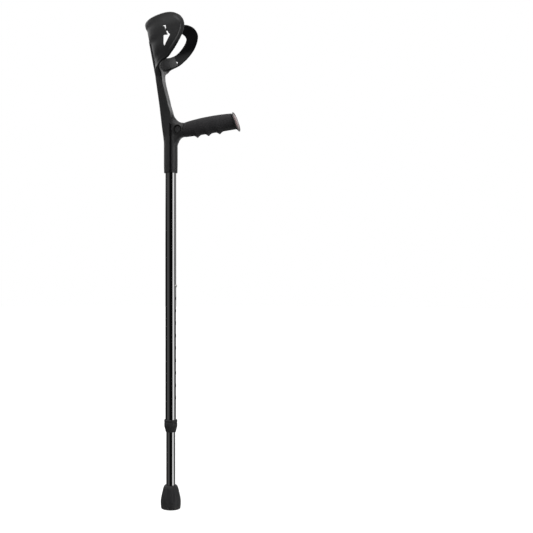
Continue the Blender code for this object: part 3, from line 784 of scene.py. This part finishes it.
# %% Loft
def lofted(name, rings):
    """One closed body through rings of equal point counts, in millimetres."""
    start_fresh()
    bpy.ops.mesh.primitive_circle_add(vertices=len(rings[0]), radius=0.01, fill_type="NGON")
    piece = bpy.context.object
    piece.name = name
    number = piece.data.attributes.new("number", "INT", "POINT")
    number.data.foreach_set("value", list(range(len(rings[0]))))
    bpy.ops.object.mode_set(mode="EDIT")
    for k, ring in enumerate(rings):
        if k:
            bpy.ops.mesh.extrude_region_move()
        shape = bmesh.from_edit_mesh(piece.data)
        layer = shape.verts.layers.int["number"]
        for corner in shape.verts:
            if corner.select:
                corner.co = Vector(ring[corner[layer]]) * MM
        bmesh.update_edit_mesh(piece.data)
    bpy.ops.mesh.select_all(action="SELECT")
    bpy.ops.mesh.normals_make_consistent(inside=False)
    bpy.ops.object.mode_set(mode="OBJECT")
    piece.data.attributes.remove(piece.data.attributes["number"])
    return piece


print("loft ready")

# %% [markdown]
# The handle climbs by 7 degrees away from the stem and grows thicker towards its end. Its top is
# part of a sine wave. Its underside climbs too, and each finger ridge is a narrow peak that hangs
# from it. The end plane leans forward, square to the plug, so a turned block can cut it.

# %% Handle curves
ROOT_X = 29.5
ROOT_MID = 760.4
GRIP_LONG = 106.5
GRIP_TALL = 29.5
GRIP_HALF = 15.7
GRIP_CLIMB = math.radians(7.2)
TOP_RISE = 13.9
BOTTOM_RISE = 11.5
RIDGE_START = 26.0
RIDGE_PITCH = 22.75
RIDGE_TALL = 4.8
RIDGE_HALF = 7.5
CORE_R = 9.5
PLUG_THICK = 4.5
END_X = ROOT_X + GRIP_LONG
END_Z = ROOT_MID + GRIP_LONG * math.tan(GRIP_CLIMB) - 1.35


def smooth_step(value):
    t = np.clip(value, 0.0, 1.0)
    return t * t * (3.0 - 2.0 * t)


def grip_top(x):
    along = np.clip((x - ROOT_X) / GRIP_LONG, 0.0, 1.2)
    return ROOT_MID + 0.5 * GRIP_TALL + TOP_RISE * math.sin(0.5 * math.pi * along**0.85)


def grip_bottom(x):
    along = np.clip((x - ROOT_X) / GRIP_LONG, 0.0, 1.2)
    line = ROOT_MID - 0.5 * GRIP_TALL + 0.9 + BOTTOM_RISE * along**1.15
    for k in range(3):
        away = abs(x - ROOT_X - RIDGE_START - k * RIDGE_PITCH)
        line -= RIDGE_TALL * np.clip(1.0 - away / RIDGE_HALF, 0.0, 1.0) ** 1.5
    return line


def oval(x, bottom, top, half, power, steps):
    """An upright ring across the handle: power 2 is an ellipse, and more is squarer."""
    ring = []
    for k in range(steps):
        angle = 2.0 * math.pi * k / steps
        c = math.cos(angle)
        s = math.sin(angle)
        y = half * math.copysign(abs(c) ** (2.0 / power), c)
        z = 0.5 * (top + bottom) + 0.5 * (top - bottom) * math.copysign(abs(s) ** (2.0 / power), s)
        ring.append((x, y, z))
    return ring


def end_cutter(level):
    """A block that covers everything past the end plane of the handle."""
    start_fresh()
    bpy.ops.mesh.primitive_cube_add(size=0.08)
    block = bpy.context.object
    block.matrix_world = laid(END_X, END_Z, END_LEAN) @ Matrix.Translation((0.0, 0.0, (level + 40.0) * MM))
    bpy.ops.object.transform_apply(location=True, rotation=True, scale=True)
    return block


print("handle ends at x", END_X, "z", round(END_Z, 1), "mm")

# %% [markdown]
# The sleeve is that oval from station to station, narrowed a little at its very start so that its
# edge looks soft where it meets the stem. Its hole is cut last, round the core of the handle.

# %% Sleeve
rings = []
for x in np.arange(ROOT_X, ROOT_X + 117.0, 1.0):
    grow = smooth_step((x - ROOT_X) / 40.0)
    start = max(0.0, 1.0 - (x - ROOT_X) / 1.2) ** 2 * 0.7
    half = GRIP_HALF - 1.3 + 1.3 * grow - start
    rings.append(oval(x, grip_bottom(x) + start, grip_top(x) - start, half, 2.2, 96))
sleeve = lofted("grip_sleeve_moulded", rings)
carved(sleeve, end_cutter(-PLUG_THICK - GAP))
core_hole = rod(CORE_R + GAP, -15.0, GRIP_LONG + 20.0)
carved(sleeve, spun("core_hole", core_hole, 64, laid(ROOT_X, ROOT_MID, GRIP_CLIMB)))
smoothed(sleeve, 40.0)
fitted(sleeve, "grip_rubber", "upper", "grip_sleeve")

# %% [markdown]
# The end plug is pressed into the handle's core. Its face is a shallow dish with a raised lip,
# and a round reflector lies in the dish. Both are turned on the leaning axis of the handle's end.

# %% Plug
PLUG_R = 20.2
SPIGOT_R = 4.7
REFLECTOR_R = 17.3
dish = -2.0 * GAP - 1.2
plug_section = [(0.0, -16.0), (3.9, -16.0), (SPIGOT_R, -15.0), (SPIGOT_R, -PLUG_THICK), (15.6, -PLUG_THICK)]
plug_section += [(16.2, -PLUG_THICK + 0.5), (17.0, -PLUG_THICK + 1.4), (18.9, -PLUG_THICK + 2.0)]
plug_section += [(PLUG_R - 0.3, -PLUG_THICK + 2.6), (PLUG_R, -PLUG_THICK + 3.1), (PLUG_R, -1.1)]
plug_section += [(PLUG_R - 0.25, -0.5), (PLUG_R - 0.8, -0.2), (PLUG_R - 1.6, 0.0), (18.0, -0.2)]
plug_section += [(REFLECTOR_R + GAP, -0.6), (REFLECTOR_R + GAP, dish), (0.0, dish)]
handle_end = laid(END_X, END_Z, END_LEAN)
plug = spun("grip_end_plug_moulded", plug_section, 128, handle_end)
smoothed(plug)
fitted(plug, "plug_black", "upper", "grip_end_plug")

reflector_section = [(0.0, dish + GAP), (REFLECTOR_R, dish + GAP), (REFLECTOR_R, -1.25)]
for radius in (17.1, 16.7, 15.5, 13.5, 11.5, 9.5, 7.5, 5.0, 2.5, 0.0):
    reflector_section.append((radius, 1.9 - 3.0 * (radius / REFLECTOR_R) ** 2))
reflector = spun("end_reflector_moulded", reflector_section, 128, handle_end)
smoothed(reflector)
fitted(reflector, "reflector_red", "upper", "end_reflector")

# %% [markdown]
# The arm support is one large moulding: socket, handle root, stem and cuff. Its cuff is a half
# shell that leans back by 11 degrees, so it is drawn in its own frame: W runs forward and H runs
# up along the lean. The outside is a loft of U shapes that grow from the narrow stem to the wide
# cuff. A second, smaller loft is carved out of it, which leaves a wall of even thickness.

# %% Cuff outline in its own frame
LEAN = math.radians(11.0)
CUFF_X = -20.0
CUFF_Z = 870.0
REAR_W = -9.3
STEM_HALF = 13.4
STEM_DEPTH = 16.0
CUFF_HALF = 53.5
CUFF_DEPTH = 49.0
CUFF_HIGH = 109.2
CUFF_WALL = 4.0
TIP_W = 79.5
TIP_H = 77.4
SWEEP = 95.0
RIM_ROLL = 2.6
RIM_IN = 2.5
RIB_TALL = 3.6
BORDER_WIDE = 7.0
BORDER_STEP = 1.2
STEM_BACK = [(-134.0, -19.9), (-109.0, -17.4), (-85.0, -14.9), (-60.0, -13.0), (-35.0, -11.8)]
STEM_BACK += [(-15.0, -11.0), (0.0, -11.0), (8.0, -10.4), (16.0, REAR_W)]
FRONT_EDGE = [(-8.5, -134.0), (3.5, -112.0), (8.6, -88.0), (8.1, -77.0), (7.3, -69.0), (6.2, -60.0)]
FRONT_EDGE += [(5.9, -48.0), (5.1, -36.0), (4.4, -27.0), (3.9, -17.0), (4.0, -8.0), (4.8, 0.0)]
FRONT_EDGE += [(5.8, 6.0), (7.2, 12.5), (10.0, 16.6), (14.4, 19.2), (20.4, 20.9), (26.4, 22.2)]
FRONT_EDGE += [(32.4, 24.2), (37.4, 27.0), (42.6, 30.6), (48.5, 34.9), (54.0, 39.5), (59.4, 44.4)]
FRONT_EDGE += [(64.4, 49.6), (69.0, 55.2), (72.9, 60.9), (76.1, 66.6), (78.2, 72.3)]
BORDER = [edge for edge in FRONT_EDGE if edge[1] > -12.0] + [(TIP_W, 80.0), (77.5, 90.0), (70.0, 99.0)]
NEAR_WINDOW = [(31.4, 44.0), (30.0, 50.3), (33.6, 66.2), (42.4, 64.4), (39.1, 78.0), (39.4, 81.7)]
NEAR_WINDOW += [(36.0, 82.6), (36.4, 85.0), (42.8, 83.8), (41.8, 78.4), (45.1, 66.4), (47.7, 62.8)]
FAR_WINDOW = [(7.4, 44.5), (17.0, 45.8), (26.0, 48.8), (36.0, 55.3), (44.5, 62.5), (51.0, 69.5)]
FAR_WINDOW += [(54.8, 77.5), (51.8, 84.5), (45.0, 92.6), (36.0, 99.4), (26.0, 103.4), (10.0, 104.6)]
FAR_WINDOW += [(6.0, 70.0)]
SMALL_WINDOW = [(25.0, 35.8), (28.4, 33.8), (26.5, 30.6)]
print("front edge:", len(FRONT_EDGE), "points, border:", len(BORDER))

# %% [markdown]
# Between those outlines the cuff grows by formulas: how wide it is, how deep its round back is,
# how square the stem is, how far the rim rolls out. A smooth step from 0 to 1 joins one stretch
# to the next without a kink. Each ring of the loft is then a U whose ends point forward.

# %% Cuff curves
QUARTER = 36


def cuff_point(w, y, h):
    x = CUFF_X + w * math.cos(LEAN) - h * math.sin(LEAN)
    z = CUFF_Z + h * math.cos(LEAN) + w * math.sin(LEAN)
    return (x, y, z)


def flare(h):
    """How far the back of the rim rolls outward near the top."""
    return RIM_ROLL * smooth_step((h - 92.0) / 11.0)


def spine(h):
    """How far the shell lies in front of the rib that runs up its back."""
    return RIB_TALL * smooth_step((h - 4.0) / 16.0) * smooth_step((76.0 - h) / 16.0)


def rear_line(h):
    return float(np.interp(h, [row[0] for row in STEM_BACK], [row[1] for row in STEM_BACK]))


def half_width(h):
    """Narrow up to the shoulder, then out to the full width, and a little in again at the rim."""
    rise = np.clip((h + 6.0) / 61.0, 0.0, 1.0)
    swell = (1.0 - (1.0 - rise) ** 1.95) * smooth_step((h - 1.0) / 14.0)
    return STEM_HALF + (CUFF_HALF - STEM_HALF) * swell - RIM_IN * smooth_step((h - 80.0) / 28.0)


def round_depth(h):
    return STEM_DEPTH + (CUFF_DEPTH - STEM_DEPTH) * smooth_step((h - 8.0) / 28.0)


def squareness(h):
    """The stem is nearly a rectangle, power 6, and the cuff a plain ellipse, power 2."""
    above = 1.0 - smooth_step((h + 25.0) / 45.0)
    below = 1.0 - smooth_step((-70.0 - h) / 60.0)
    return 2.0 + 4.0 * above * below


print("cuff half width at the rim:", round(half_width(CUFF_HIGH), 1), "mm")

# %% [markdown]
# Along the front edge of each wing the wall is thinner, with a soft step down to the border. It
# has to follow the edge, so the distance of each point to the edge is measured in the side view.
# A point is found from W, Y and H, and back again, because the finish needs the same distance.

# %% Cuff rings
def in_cuff(point):
    """A point in millimetres, measured in the cuff's own frame."""
    x, y, z = point
    w = (x - CUFF_X) * math.cos(LEAN) + (z - CUFF_Z) * math.sin(LEAN)
    return w, y, (z - CUFF_Z) * math.cos(LEAN) - (x - CUFF_X) * math.sin(LEAN)


def border_away(w, h):
    """How far a point of the side view is from the front edge of the cuff."""
    if h < -12.0 or not 0.0 < w < 92.0:
        return 99.0
    away = 99.0
    for (w0, h0), (w1, h1) in zip(BORDER, BORDER[1:]):
        run, climb = w1 - w0, h1 - h0
        t = min(max(((w - w0) * run + (h - h0) * climb) / (run * run + climb * climb), 0.0), 1.0)
        away = min(away, math.hypot(w - w0 - t * run, h - h0 - t * climb))
    return away


def thinned(w, h):
    """How far the outside steps down in the border along the front edge of a wing."""
    step = 1.0 - smooth_step((border_away(w, h) - BORDER_WIDE) / 1.3)
    return BORDER_STEP * step * smooth_step((h - 14.0) / 16.0)


def u_ring(h, back, depth, half, reach, power, border=False):
    """A rounded back, from half ellipse to rectangle, with straight sides that run forward."""
    side = []
    for k in range(QUARTER + 1):
        angle = 0.5 * math.pi * k / QUARTER
        c = max(math.cos(angle), 0.0) ** (2.0 / power)
        side.append((back + depth * (1.0 - c), half * math.sin(angle) ** (2.0 / power)))
    side += [(w, half) for w in np.linspace(back + depth, reach, QUARTER + 1)[1:]]
    if border:
        side = [(w, y - thinned(w, h)) for w, y in side]
    ring = [cuff_point(w, -y, h) for w, y in reversed(side[1:])]
    return ring + [cuff_point(w, y, h) for w, y in side]


def side_cut(name, outline, low, high):
    """An outline in W and H, carried across the cuff from low to high."""
    return lofted(name, [[cuff_point(w, y, h) for w, h in outline] for y in (low, high)])


print("cuff leans", round(math.degrees(LEAN)), "degrees")

# %% [markdown]
# The side view of the cuff is not an ellipse: the front edge sweeps up from the stem in one long
# curve to a blunt tip and over a large corner to the rim. The same outline is cut through both
# wings at once, as if with a fretsaw, and the bowl is carved out behind it. A flat rib up the back
# stiffens the thin shell, and carries it on down into the stem.

# %% Cuff shell
outside = []
for h in [-134.0, -121.0, -109.0, -97.0, -85.0, -72.0, -60.0, -47.0, -35.0, -25.0, -15.0, -7.0]:
    outside.append(u_ring(h, rear_line(h), round_depth(h), half_width(h), SWEEP, squareness(h)))
for h in list(np.arange(0.0, 60.0, 1.25)) + list(np.arange(60.0, 113.0, 1.5)):
    out = flare(h)
    back = rear_line(h) - out + spine(h)
    depth = round_depth(h) + out - spine(h)
    outside.append(u_ring(h, back, depth, half_width(h), SWEEP, squareness(h), True))
arm_support = lofted("arm_support_moulded", outside)

outline = [(-40.0, -134.0)] + FRONT_EDGE
crown = REAR_W + CUFF_DEPTH
for angle in np.radians(np.linspace(0.0, 90.0, 19)):
    w = crown + (TIP_W - crown) * math.cos(angle) ** (2.0 / 2.2)
    outline.append((w, TIP_H + (CUFF_HIGH - TIP_H) * math.sin(angle) ** (2.0 / 2.2)))
outline += [(10.0, CUFF_HIGH - 0.4), (-40.0, CUFF_HIGH - 4.0)]
carved(arm_support, side_cut("fretsaw", outline, -75.0, 75.0), "INTERSECT")

bowl = []
for h in list(np.arange(0.0, 60.0, 1.25)) + list(np.arange(60.0, 115.0, 1.5)):
    out = flare(h)
    scoop = smooth_step(h / 38.0)
    thick = CUFF_WALL + 1.6 * smooth_step((105.0 - h) / 50.0)
    back = (REAR_W + 18.5) * (1.0 - scoop) + (REAR_W + thick) * scoop - out
    depth = round_depth(h) - thick + out
    bowl.append(u_ring(h, back, depth, half_width(h) - CUFF_WALL, SWEEP + 4.0, 2.0))
# The two lofts run close together, and only the manifold solver cuts them alike on every run.
carved(arm_support, lofted("bowl", bowl), solver="MANIFOLD")

rib = []
for h in np.arange(-6.0, 78.0, 3.0):
    back = rear_line(h) + 0.8 - 1.8 * smooth_step((h - 2.0) / 14.0)
    slab = [(back, -8.4), (back + 7.0, -9.0), (back + 7.0, 9.0), (back, 8.4)]
    rib.append([cuff_point(w, y, h) for w, y in rounded(slab, 0.8, 3)])
parts = [lofted("rib", rib)]
print("cuff shell faces:", len(arm_support.data.polygons))

# %% [markdown]
# The socket is a thick sleeve round the tube. The handle's own oval runs into it, with a narrower
# web under it and the stem's fillet above, so a shaded crease follows the underside of the oval.
# All are put in one mesh, still overlapping. One voxel remesh makes a single skin of them, and
# turns the sharp joins into the soft radii of a moulding.

# %% Socket and handle root
SOCKET_LOW = 675.0
SOCKET_HIGH = 778.0
VOXEL = 0.0011
FILLET_LONG = 22.0
FILLET_RISE = 13.6
WEB_DROP = 39.0
WEB_HALF = 9.5
ROOT_POWER = 2.4
socket_section = [(0.0, SOCKET_LOW), (13.1, SOCKET_LOW), (13.6, SOCKET_LOW + 0.5)]
socket_section += [(SOCKET_R, SOCKET_LOW + 16.0)]
socket_section += [(SOCKET_R, SOCKET_HIGH - 40.0), (SOCKET_R - 1.0, SOCKET_HIGH), (0.0, SOCKET_HIGH)]
parts.append(spun("socket", socket_section, 96))

root = []
web = []
for x in np.linspace(-2.0, ROOT_X - GAP, 24):
    back = (ROOT_X - x) / FILLET_LONG
    top = ROOT_MID + 14.95 + FILLET_RISE * back**2.6
    bottom = ROOT_MID - 13.55
    low = bottom - WEB_DROP * min(back, 1.0) ** 2.9
    root.append(oval(x, bottom, top, GRIP_HALF - 1.7 - 1.3 * min(back, 1.0), ROOT_POWER, 64))
    web.append(oval(x, low, ROOT_MID + 4.0, WEB_HALF, 3.0, 64))
parts += [lofted("root", root), lofted("web", web)]
parts.append(spun("core", rod(CORE_R, -12.0, GRIP_LONG + 15.0), 64, laid(ROOT_X, ROOT_MID, GRIP_CLIMB)))
joined(arm_support, parts)
applied(arm_support, "REMESH", mode="VOXEL", voxel_size=VOXEL)
applied(arm_support, "SMOOTH", factor=0.5, iterations=5)
print("moulding faces:", len(arm_support.data.polygons))

# %% [markdown]
# What was machined into the mould stays crisp, so it is cut after the remesh: the bore, with a
# broken edge at its mouth, the seat of the plug, the rivet's hole and the window in each wing. The
# near window has a tongue in it that leaves only a narrow slot above. The far wing has a very small
# three-cornered window low down as well, which leans as it goes through the wall.

# %% Bores and windows
bore = [(0.0, SOCKET_LOW - 5.0), (11.9, SOCKET_LOW - 5.0), (11.9, SOCKET_LOW)]
bore += [(OUTER_R + GAP, SOCKET_LOW + 0.6), (OUTER_R + GAP, TUBE_TOP + GAP), (0.0, TUBE_TOP + GAP)]
carved(arm_support, spun("bore", bore, 96))
carved(arm_support, end_cutter(-PLUG_THICK - GAP))
carved(arm_support, spun("spigot_hole", rod(SPIGOT_R + GAP, -16.8, 10.0), 48, handle_end))
carved(arm_support, spun("rivet_hole", rod(RIVET_HOLE_R, 6.0, 20.0), 32, far_side))
carved(arm_support, side_cut("near_window", rounded(NEAR_WINDOW, 0.9, 4), -75.0, -5.0))
carved(arm_support, side_cut("far_window", rounded(FAR_WINDOW, 7.0, 12), 5.0, 75.0))
corners = rounded(SMALL_WINDOW, 0.8, 4)
leaning = []
for y in (25.0, 65.0):
    leaning.append([cuff_point(w + (45 - y) * 0.25, y, h - (45 - y) * 0.29) for w, h in corners])
carved(arm_support, lofted("small_window", leaning))
print("with windows, faces:", len(arm_support.data.polygons))

# %% [markdown]
# A groove runs down each side of the socket where the halves of the mould part, and fades out
# towards the stem. A shallow oval dish is sunk in each side of the handle's root and left bare.
# The side there is rounded, so the flat turned tool is bent to follow it before it is carved.

# %% Grooves and dish
GROOVE_X = 3.4
GROOVE_HALF = 2.0
GROOVE_Y = 13.5
DISH_X = 17.4
DISH_Z = 762.0
DISH_TALL = 1.12
ROOT_HALF_TALL = 14.9
for side in (-1.0, 1.0):
    groove = []
    for z in np.arange(SOCKET_LOW - 3.0, SOCKET_HIGH - 2.0, 4.0):
        fade = 2.0 - 0.8 * smooth_step((z - 735.0) / 35.0)
        ring = []
        for k in range(16):
            angle = 2.0 * math.pi * k / 16
            y = side * GROOVE_Y + 0.9 * fade * math.sin(angle)
            ring.append((GROOVE_X + GROOVE_HALF * math.cos(angle), y, z))
        groove.append(ring)
    carved(arm_support, lofted("groove", groove))
dish_section = [(0.0, -0.9), (5.3, -0.9), (5.9, -0.6), (7.3, 0.8), (7.7, 1.5), (8.0, 3.4), (0.0, 3.4)]
for side in (-1.0, 1.0):
    face = Matrix.Translation((DISH_X * MM, side * 12.1 * MM, DISH_Z * MM))
    dish_tool = spun("dish", dish_section, 64, face @ Matrix.Rotation(-side * 0.5 * math.pi, 4, "X"))
    for corner in dish_tool.data.vertices:
        across = min(abs(corner.co.z - DISH_Z * MM) / (ROOT_HALF_TALL * MM), 0.95)
        bend = 1.0 - (1.0 - across**ROOT_POWER) ** (1.0 / ROOT_POWER)
        corner.co.y -= side * 13.3 * MM * bend
        corner.co.z = DISH_Z * MM + DISH_TALL * (corner.co.z - DISH_Z * MM)
    carved(arm_support, dish_tool)
smoothed(arm_support, 50.0)
fitted(arm_support, "moulded_black", "upper", "arm_support")

# %% [markdown]
# Two places on the moulding are painted a lighter grey as a highlight: a line just inside the
# step of the cuff's border, and the rear corner under it. How much is stored in each point, where
# the finish finds it. The lining has a polished finish from its seam on, whose darker colour is
# painted shade inside the cuff, and so do the cuff's mouth, the rim of the dish and the walls of
# the grooves, which the mould leaves smooth; there the darker colour is painted shade in the
# crease and the hollows.

# %% Painted highlight and painted shade on the moulding
LINE_AWAY = 6.9
LINE_HALF = 0.9
CORNER_W = -6.5
CORNER_H = 16.0
SEAM_W = 26.5
SEAM_H = 33.7
SEAM_TOP = 50.0
arm_support.data.materials.append(FINISHES["moulded_black_polished_shaded"])
painted_highlight = arm_support.data.attributes.new("painted_highlight", "FLOAT", "POINT")
amounts = []
# Each point stores how much painted highlight it gets: a line just inside the border step of each wing, and a
# spot on the rear corner.
for point in arm_support.data.vertices:
    w, y, h = in_cuff(point.co / MM)
    line = math.exp(-(((border_away(w, h) - LINE_AWAY) / LINE_HALF) ** 2))
    line *= smooth_step((h - 34.0) / 16.0) * smooth_step((82.0 - h) / 12.0)
    on_side = abs(y) > half_width(h) - 3.4 and 30.0 < w < 76.0
    corner = math.exp(-(((w - CORNER_W) / 2.6) ** 2) - ((h - CORNER_H) / 4.5) ** 2) * (abs(y) > 9.0)
    amounts.append(line * on_side + corner)
painted_highlight.data.foreach_set("value", amounts)
arm_support.data.materials.append(FINISHES["moulded_black_polished_shaded"])
polished = 0
# The faces picked here get the darker finish, which is painted shade in the lining, the mouth's crease, the
# dish rim and the grooves.
for face in arm_support.data.polygons:
    x, y, z = face.center / MM
    w, y, h = in_cuff(face.center / MM)
    inward = face.normal.y * y < 0.0 or (abs(y) < 30.0 and face.normal.x > 0.3)
    past_seam = h > SEAM_TOP or w > SEAM_W + 0.27 * (SEAM_H - h)
    lining = h > 18.0 and past_seam and inward and w > REAR_W + 1.5 and half_width(h) - abs(y) > 2.4
    mouth = h < 46.0 and border_away(w, h) < 2.4
    dish_rim = 5.5 < math.hypot(x - DISH_X, (z - DISH_Z) / DISH_TALL) < 7.9
    in_groove = abs(x - GROOVE_X) < 2.6 and 11.5 < math.hypot(x, y) < 13.7
    in_groove = in_groove and SOCKET_LOW < z < SOCKET_HIGH - 4.0
    if lining or mouth or dish_rim or in_groove:
        face.material_index = 1
        polished += 1
print("rubbed points:", sum(amount > 0.1 for amount in amounts), "polished faces:", polished)

# %% [markdown]
# Three pieces inside the tubes keep their solids, because nobody sees them: the bush that guides
# the narrow tube, the spring behind the button and the washer in the foot. They get real finishes.

# %% Inner pieces
for node, finish in (
    ("guide_bush", "bush_plastic"),
    ("button_spring", "spring_steel"),
    ("ferrule_washer", "washer_steel"),
):
    for place in bpy.data.objects[node].material_slots:
        place.material = FINISHES[finish]
    print(node, "finish:", finish)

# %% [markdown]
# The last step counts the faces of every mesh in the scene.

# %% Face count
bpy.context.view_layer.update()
triangles = sum(len(item.data.polygons) for item in bpy.data.objects if item.type == "MESH")
print("all faces:", triangles)
